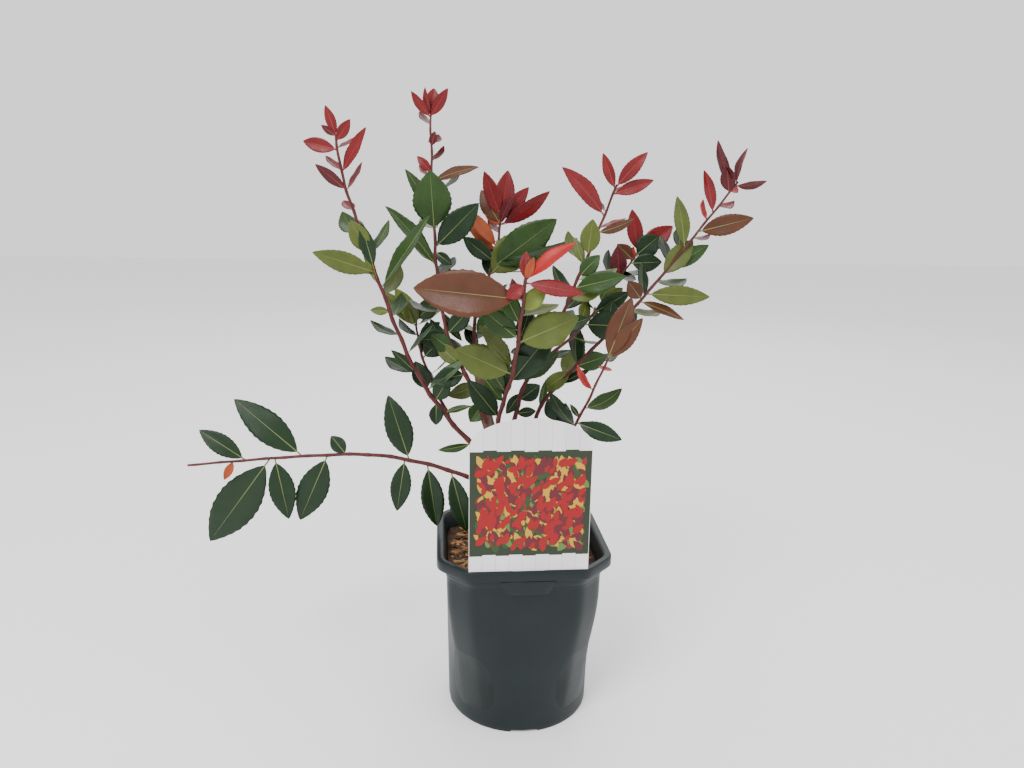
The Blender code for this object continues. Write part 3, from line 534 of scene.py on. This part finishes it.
seenLeaves = dict(
    bough_left=[
        (335, 136, 325, 105, 9, "red"), (331, 137, 321, 125, 6, "darkRed"), (337, 140, 350, 119, 10, "red"),
        (335, 150, 303, 141, 13, "red"), (344, 171, 366, 127, 10, "red"),
        (344, 191, 315, 164, 10, "darkRed"), (366, 254, 350, 220, 18, "olive"),
        (380, 266, 361, 223, 14, "dark"), (383, 288, 364, 236, 6, "lime"), (371, 274, 312, 252, 20, "olive"),
        (384, 288, 430, 215, 13, "mid"), (418, 374, 391, 350, 10, "dark"), (390, 312, 370, 310, 8, "olive"),
        (430, 388, 466, 359, 12, "mid"), (436, 400, 449, 378, 18, "dark"), (445, 412, 471, 406, 6, "mid"),
        (470, 446, 438, 450, 8, "mid"), (437, 402, 436, 425, 14, "dark")],
    bough_back_left=[
        (417, 322, 395, 288, 16, "lime"), (415, 325, 405, 300, 16, "olive"), (420, 320, 438, 298, 18, "mid"),
        (416, 327, 386, 292, 14, "olive"), (424, 357, 446, 334, 22, "dark"),
        (419, 340, 440, 322, 14, "dark")],
    bough_tall=[
        (428, 117, 411, 91, 8, "red"), (428, 115, 425, 87, 5, "red"), (430, 118, 434, 88, 14, "red"),
        (431, 118, 448, 88, 10, "red"), (431, 146, 435, 131, 7, "darkRed"), (430, 172, 417, 156, 8, "red"),
        (435, 231, 430, 170, 37, "mid"), (433, 222, 405, 169, 13, "mid"), (433, 182, 479, 167, 9, "bronze"),
        (438, 248, 479, 203, 26, "dark"), (434, 268, 385, 206, 14, "mid"), (440, 252, 452, 265, 10, "dark"),
        (446, 334, 471, 308, 18, "dark"), (447, 338, 420, 340, 20, "dark"), (455, 352, 430, 334, 16, "mid"),
        (461, 366, 436, 343, 16, "olive"), (444, 310, 462, 341, 9, "mid"), (466, 374, 432, 381, 20, "dark")],
    bough_back=[
        (502, 219, 484, 171, 15, "red"), (502, 219, 508, 170, 19, "red"), (497, 224, 481, 190, 18, "bronze"),
        (496, 226, 486, 202, 14, "orange"), (505, 222, 529, 187, 14, "red"),
        (505, 226, 515, 194, 8, "darkRed"), (508, 226, 550, 191, 14, "red"),
        (493, 247, 464, 209, 12, "orange"), (490, 250, 465, 218, 10, "orange"),
        (489, 261, 463, 237, 16, "dark"), (490, 276, 531, 232, 34, "olive"), (495, 268, 557, 219, 33, "mid"),
        (494, 262, 578, 238, 18, "mid"), (476, 320, 500, 285, 22, "dark"), (476, 335, 502, 312, 22, "mid")],
    bough_front=[
        (518, 300, 413, 288, 46, "bronze"), (527, 281, 526, 251, 12, "red"),
        (528, 281, 534, 257, 8, "orange"), (530, 282, 576, 243, 13, "bright"),
        (530, 284, 584, 294, 15, "red"), (524, 286, 506, 298, 14, "red"), (522, 312, 546, 286, 18, "lime"),
        (521, 343, 579, 317, 35, "olive"), (513, 374, 455, 349, 34, "olive"),
        (513, 385, 553, 330, 32, "dark"), (518, 340, 482, 309, 24, "mid"), (508, 398, 502, 372, 16, "dark"),
        (520, 325, 502, 288, 18, "mid"), (508, 395, 478, 350, 16, "mid"), (500, 418, 468, 380, 22, "dark")],
    bough_right=[
        (617, 190, 603, 153, 10, "red"), (617, 186, 648, 152, 13, "red"), (616, 194, 654, 180, 12, "red"),
        (604, 217, 562, 167, 16, "red"), (588, 256, 593, 219, 19, "olive"),
        (600, 233, 634, 219, 9, "bronze"), (584, 266, 574, 237, 10, "olive"),
        (580, 278, 600, 255, 16, "mid"), (575, 288, 626, 276, 20, "mid"), (568, 300, 606, 284, 18, "olive"),
        (556, 330, 590, 318, 16, "dark"), (519, 400, 540, 385, 18, "dark"), (522, 392, 506, 414, 12, "dark"),
        (516, 415, 536, 411, 10, "dark"), (548, 345, 566, 339, 8, "lime")],
    bough_back_right=[
        (637, 252, 632, 209, 15, "red"), (638, 252, 673, 226, 20, "red"), (632, 260, 617, 244, 14, "bronze"),
        (636, 256, 659, 236, 22, "dark"), (620, 278, 617, 246, 16, "darkRed"),
        (600, 306, 623, 288, 14, "olive"), (594, 313, 630, 292, 16, "dark"),
        (585, 325, 625, 326, 28, "dark"), (630, 264, 662, 262, 18, "dark")],
    bough_far_right=[
        (662, 276, 693, 240, 20, "olive"), (668, 268, 709, 245, 16, "mid"),
        (684, 248, 677, 196, 14, "olive"), (697, 232, 754, 218, 19, "bronze"),
        (713, 212, 704, 170, 10, "red"), (729, 194, 727, 165, 14, "darkRed"),
        (733, 188, 718, 140, 9, "darkRed"), (735, 184, 748, 148, 6, "darkRed"),
        (735, 186, 767, 181, 7, "darkRed"), (645, 294, 710, 297, 19, "olive"),
        (640, 301, 684, 320, 9, "bronze"), (641, 300, 628, 281, 16, "bronze"),
        (576, 366, 607, 356, 19, "mid"), (558, 384, 590, 370, 8, "dark"), (548, 398, 560, 421, 20, "dark"),
        (541, 409, 545, 382, 7, "mid"), (572, 370, 540, 392, 16, "olive"), (606, 333, 612, 300, 20, "dark")],
    bough_low_right=[
        (608, 361, 632, 297, 24, "bronze"), (608, 361, 643, 318, 18, "bronze"),
        (577, 424, 622, 440, 18, "dark"), (577, 424, 606, 426, 5, "dark"), (580, 418, 570, 404, 5, "dark")],
    bough_low_left=[
        (410, 458, 388, 395, 27, "dark"), (405, 461, 397, 511, 21, "dark"), (428, 464, 437, 526, 24, "dark"),
        (450, 471, 467, 532, 21, "dark"), (346, 455, 331, 436, 15, "dark"), (328, 455, 300, 520, 31, "dark"),
        (304, 457, 234, 399, 31, "dark"), (245, 459, 199, 430, 20, "dark"), (234, 460, 224, 480, 8, "orange"),
        (269, 458, 210, 541, 44, "dark"), (275, 458, 289, 519, 26, "dark")],
    trunk=[
        (478, 372, 502, 401, 16, "mid"), (480, 385, 448, 396, 16, "olive"), (484, 404, 470, 422, 18, "mid"),
        (479, 370, 468, 350, 20, "dark")])

# Leaf shape: stalkHalf and thick in metres, stalk, bend and depth in shares of the length, teeth, ripple and
# fold in shares of the half width, slim * narrow the least full width for its length, around a full turn
leafShape = dict(columns=9, rows=25, stalk=0.09, stalkHalf=0.0007, teeth=0.025, ripple=0.05, waves=14,
                 tipPower=0.90, sidePower=0.82, slim=0.36, narrow=0.8, depth=0.28, thick=0.0004,
                 bend=(-0.02, 0.10), fold=(0.05, 0.30), around=(0, 6.28))
ribShape = dict(columns=3, reach=0.93, half=0.00055, taper=1.15, rise=0.0004, clear=0.00012)
leafTints = dict(
    bright=(0.36, 0.005, 0.004), red=(0.16, 0.006, 0.008), darkRed=(0.075, 0.005, 0.008),
    orange=(0.32, 0.060, 0.012), bronze=(0.085, 0.026, 0.009), lime=(0.14, 0.18, 0.022),
    olive=(0.078, 0.100, 0.014), mid=(0.022, 0.056, 0.008), dark=(0.006, 0.024, 0.005))
redTints = ("bright", "red", "darkRed", "orange")
ribTints = dict(redRib=("rib_red", (0.26, 0.03, 0.03)), greenRib=("rib_green", (0.16, 0.19, 0.06)))
blades = {tint: [] for tint in leafTints}
ribs = {tint: [] for tint in ribTints}


def leafPoints(foot, tip, across, normal, wide, bend, fold, seed):
    # u goes from -1 to 1 across and v from 0 to 1 along, and blade is v past the stalk.
    # Half width = wide / 2 * sin(pi * blade ^ tipPower) ^ sidePower + the stalk, a tooth at every other row.
    # Point = foot + v * (tip - foot) + u * half * across + (bend + fold + ripple) * normal, where bend is an
    # arch along the leaf, fold a rise to both edges, and ripple small waves at the edges
    shape = leafShape
    v = np.linspace(0, 1, shape["rows"])[:, None]
    u = np.linspace(-1, 1, shape["columns"])[None, :]
    blade = np.clip((v - shape["stalk"]) / (1 - shape["stalk"]), 0, 1)
    half = wide / 2 * np.sin(math.pi * blade ** shape["tipPower"]) ** shape["sidePower"]
    half = half + shape["stalkHalf"] * (1 - blade)
    half = half * (1 - shape["teeth"] * np.cos(np.arange(shape["rows"])[:, None] * math.pi))
    lift = bend * np.linalg.norm(tip - foot) * (4 * v * (1 - v)) + fold * abs(u) * half
    lift = lift + shape["ripple"] * half * u * u * np.sin(v * shape["waves"] + seed)
    return (foot + v[..., None] * (tip - foot) + (u * half)[..., None] * across
            + lift[..., None] * normal)


def ribPoints(foot, tip, across, normal, bend):
    # A narrow strip on the leaf's middle line, raised along its own middle, with the leaf's bend
    shape = ribShape
    v = np.linspace(0, shape["reach"], leafShape["rows"])[:, None]
    u = np.linspace(-1, 1, shape["columns"])[None, :]
    half = shape["half"] * (shape["taper"] - v)
    lift = bend * np.linalg.norm(tip - foot) * (4 * v * (1 - v))
    lift = lift + shape["rise"] * (1 - abs(u)) + shape["clear"]
    return (foot + v[..., None] * (tip - foot) + (u * half)[..., None] * across
            + lift[..., None] * normal)


def growLeaf(foot, tip, facing, wide, tint, bend):  # facing is the way that the upper side looks
    along = unit(tip - foot)
    normal = unit(facing - along * (facing @ along))
    across = np.cross(along, normal)
    fold, seed = dice.uniform(*leafShape["fold"]), dice.uniform(*leafShape["around"])
    blades[tint].append(leafPoints(foot, tip, across, normal, wide, bend, fold, seed))
    rib = "redRib" if tint in redTints else "greenRib"
    ribs[rib].append(ribPoints(foot, tip, across, normal, bend))


def growSeenLeaves():
    # The foot is the bough's nearest point in the picture. The tip is on its own pixel's ray, a little
    # nearer or further. A leaf seen narrower than its least full width is turned on its middle line, to
    # either side, by acos(seen width / full width)
    for name, rows in seenLeaves.items():
        path = paths[name]
        seen = toPicture(path)
        for footX, footY, tipX, tipY, wide, tint in rows:
            foot = path[np.argmin((seen[:, 0] - footX) ** 2 + (seen[:, 1] - footY) ** 2)]
            depth = foot @ levelAhead
            distance = depth - eye @ levelAhead
            span = math.hypot(tipX - footX, tipY - footY) * distance / view["focal"]
            nearer = dice.uniform(-leafShape["depth"], leafShape["depth"]) * span
            tip = fromPicture(tipX, tipY, depth + nearer)
            seenWidth = wide * distance / view["focal"]
            fullWidth = max(seenWidth, leafShape["slim"] * span * leafShape["narrow"])
            turned = math.acos(min(1.0, seenWidth / fullWidth)) * dice.choice([-1, 1])
            toEye, along = unit(eye - foot), unit(tip - foot)
            flat = unit(toEye - along * (toEye @ along))
            facing = math.cos(turned) * flat + math.sin(turned) * np.cross(along, flat)
            growLeaf(foot, tip, facing, fullWidth, tint, dice.uniform(*leafShape["bend"]))


# Leaves behind: from where to where on each bough, how many, and where the fresh red ones begin

hiddenLeaves = dict(
    bough_left=(0.30, 1.0, 13, 0.8), bough_back_left=(0.2, 1.0, 9, None), bough_tall=(0.25, 1.0, 15, 0.82),
    bough_back=(0.2, 1.0, 17, 0.75), bough_front=(0.4, 1.0, 10, 0.88), bough_right=(0.35, 1.0, 13, 0.8),
    bough_back_right=(0.25, 1.0, 11, 0.85), bough_far_right=(0.35, 1.0, 14, 0.82),
    bough_low_right=(0.45, 1.0, 5, 0.8))
hiddenShape = dict(goldenTurn=2.39996, tilt=0.3, leastBack=0.25, mostBack=0.9, lean=(0.4, 0.9),
                   freshLength=(0.022, 0.032), length=(0.034, 0.052), wide=(0.36, 0.46), bend=(-0.14, -0.02),
                   skyward=(0, 0, 0.6), freshTints=("red", "darkRed", "bright"),
                   tints=("mid", "dark", "dark", "olive"))


def growHiddenLeaves():
    # Way = outward at each golden turn + a random share of the stem; one that looks too little to the back is
    # turned there first
    shape = hiddenShape
    for name, (start, end, count, freshFrom) in hiddenLeaves.items():
        path = paths[name]
        for i in range(count):
            share = start + (end - start) * (i + 0.5) / count
            spot = min(len(path) - 2, int(share * (len(path) - 1)))
            foot, stem = path[spot], unit(path[spot + 1] - path[spot])
            around = i * shape["goldenTurn"]
            out = unit(np.cross(stem, [math.cos(around), math.sin(around), shape["tilt"]]))
            if out @ levelAhead < shape["leastBack"]:
                out = unit(out + levelAhead * (shape["mostBack"] - out @ levelAhead))
            fresh = freshFrom is not None and share > freshFrom
            length = dice.uniform(*shape["freshLength" if fresh else "length"])
            way = unit(out + stem * dice.uniform(*shape["lean"]))
            tint = str(dice.choice(shape["freshTints" if fresh else "tints"]))
            wide, bend = length * dice.uniform(*shape["wide"]), dice.uniform(*shape["bend"])
            growLeaf(foot, foot + way * length, stem + np.array(shape["skyward"]), wide, tint, bend)


# Joined leaves, one piece a tint: the mid-green piece is made in place of all the masses, which are hidden

leafFinish = dict(roughness=0.42, shade=0.72, scale=70, bump=0.4, bumpScale=700, ribRoughness=0.45)


def joinSheets(name, sheets, columns, finish, nodes=()):  # all sheets of one kind as one piece
    rows = leafShape["rows"]
    faces = repeatFaces(gridFaces(rows, columns, False), len(sheets), rows * columns)
    return addPiece(name, np.array(sheets).reshape(-1, 3), faces, finish, nodes)


def joinLeaves():  # a thickness is added to the blades, half to each side, and none to the ribs
    f = leafFinish
    masses = [node for node in frame["nodes"] if node.startswith(("leaves_", "pad_"))]
    for tint, color in leafTints.items():
        finish = material("leaf_" + tint, color, f["roughness"], second=shaded(color, f["shade"]),
                          scale=f["scale"], bump=f["bump"], bumpScale=f["bumpScale"])
        piece = joinSheets("leaf_sprays_" + tint, blades[tint], leafShape["columns"], finish,
                           masses if tint == "mid" else ())
        skin = piece.modifiers.new("thickness", "SOLIDIFY")
        skin.thickness = leafShape["thick"]
        skin.offset = 0
    for rib, (name, color) in ribTints.items():
        finish = material(name, color, f["ribRoughness"])
        joinSheets("leaf_ribs_" + rib, ribs[rib], ribShape["columns"], finish)
    print("leaves:", sum(len(made) for made in blades.values()))


print("stage: leaves")
growSeenLeaves()
growHiddenLeaves()
joinLeaves()


# Floor, light and camera: each lamp has a place, a power in watts and a size

studio = dict(floorSize=12, floorColor=(0.92, 0.92, 0.92), floorRoughness=0.8, aim=(0, 0, 0.3),
              skyColor=(1, 1, 1, 1), sky=1.3)
lamps = dict(key=((-1.2, -1.6, 2.2), 62.0, 1.0), fill=((1.8, -1.2, 1.4), 16.0, 1.8),
             back=((0.4, 1.8, 2.0), 20.0, 1.6))


def makeFloor():  # a wide pale plane at height 0
    bpy.ops.mesh.primitive_plane_add(size=studio["floorSize"], location=(0, 0, 0))
    floor = bpy.context.object
    floor.name = "floor"
    floor.data.materials.append(material("floor_pale", studio["floorColor"], studio["floorRoughness"]))


def makeLight():  # soft square lamps turned to the plant, and an even pale sky
    for name, (spot, power, size) in lamps.items():
        data = bpy.data.lights.new(name, "AREA")
        data.energy, data.size = power, size
        lamp = bpy.data.objects.new(name, data)
        bpy.context.scene.collection.objects.link(lamp)
        lamp.location = spot
        way = np.array(studio["aim"]) - np.array(spot)
        lamp.rotation_euler = (math.atan2(math.hypot(way[0], way[1]), -way[2]), 0,
                               math.atan2(way[0], -way[1]) + math.pi)
    world = bpy.data.worlds.new("studio")
    world.use_nodes = True
    sky = world.node_tree.nodes["Background"]
    sky.inputs["Color"].default_value = studio["skyColor"]
    sky.inputs["Strength"].default_value = studio["sky"]
    bpy.context.scene.world = world


def makeCamera():  # its matrix has the picture's right, up and back as columns, and the eye as its place
    data = bpy.data.cameras.new("camera")
    data.sensor_width = view["sensor"]
    data.lens = view["focal"] / view["wide"] * view["sensor"]
    data.clip_start = view["near"]
    camera = bpy.data.objects.new("camera", data)
    bpy.context.scene.collection.objects.link(camera)
    turned = np.eye(4)
    turned[:3, 0], turned[:3, 1], turned[:3, 2], turned[:3, 3] = viewRight, viewUp, -ahead, eye
    camera.matrix_world = Matrix(turned.tolist())
    bpy.context.scene.camera = camera


makeFloor()
makeLight()
makeCamera()
print("stage: done")
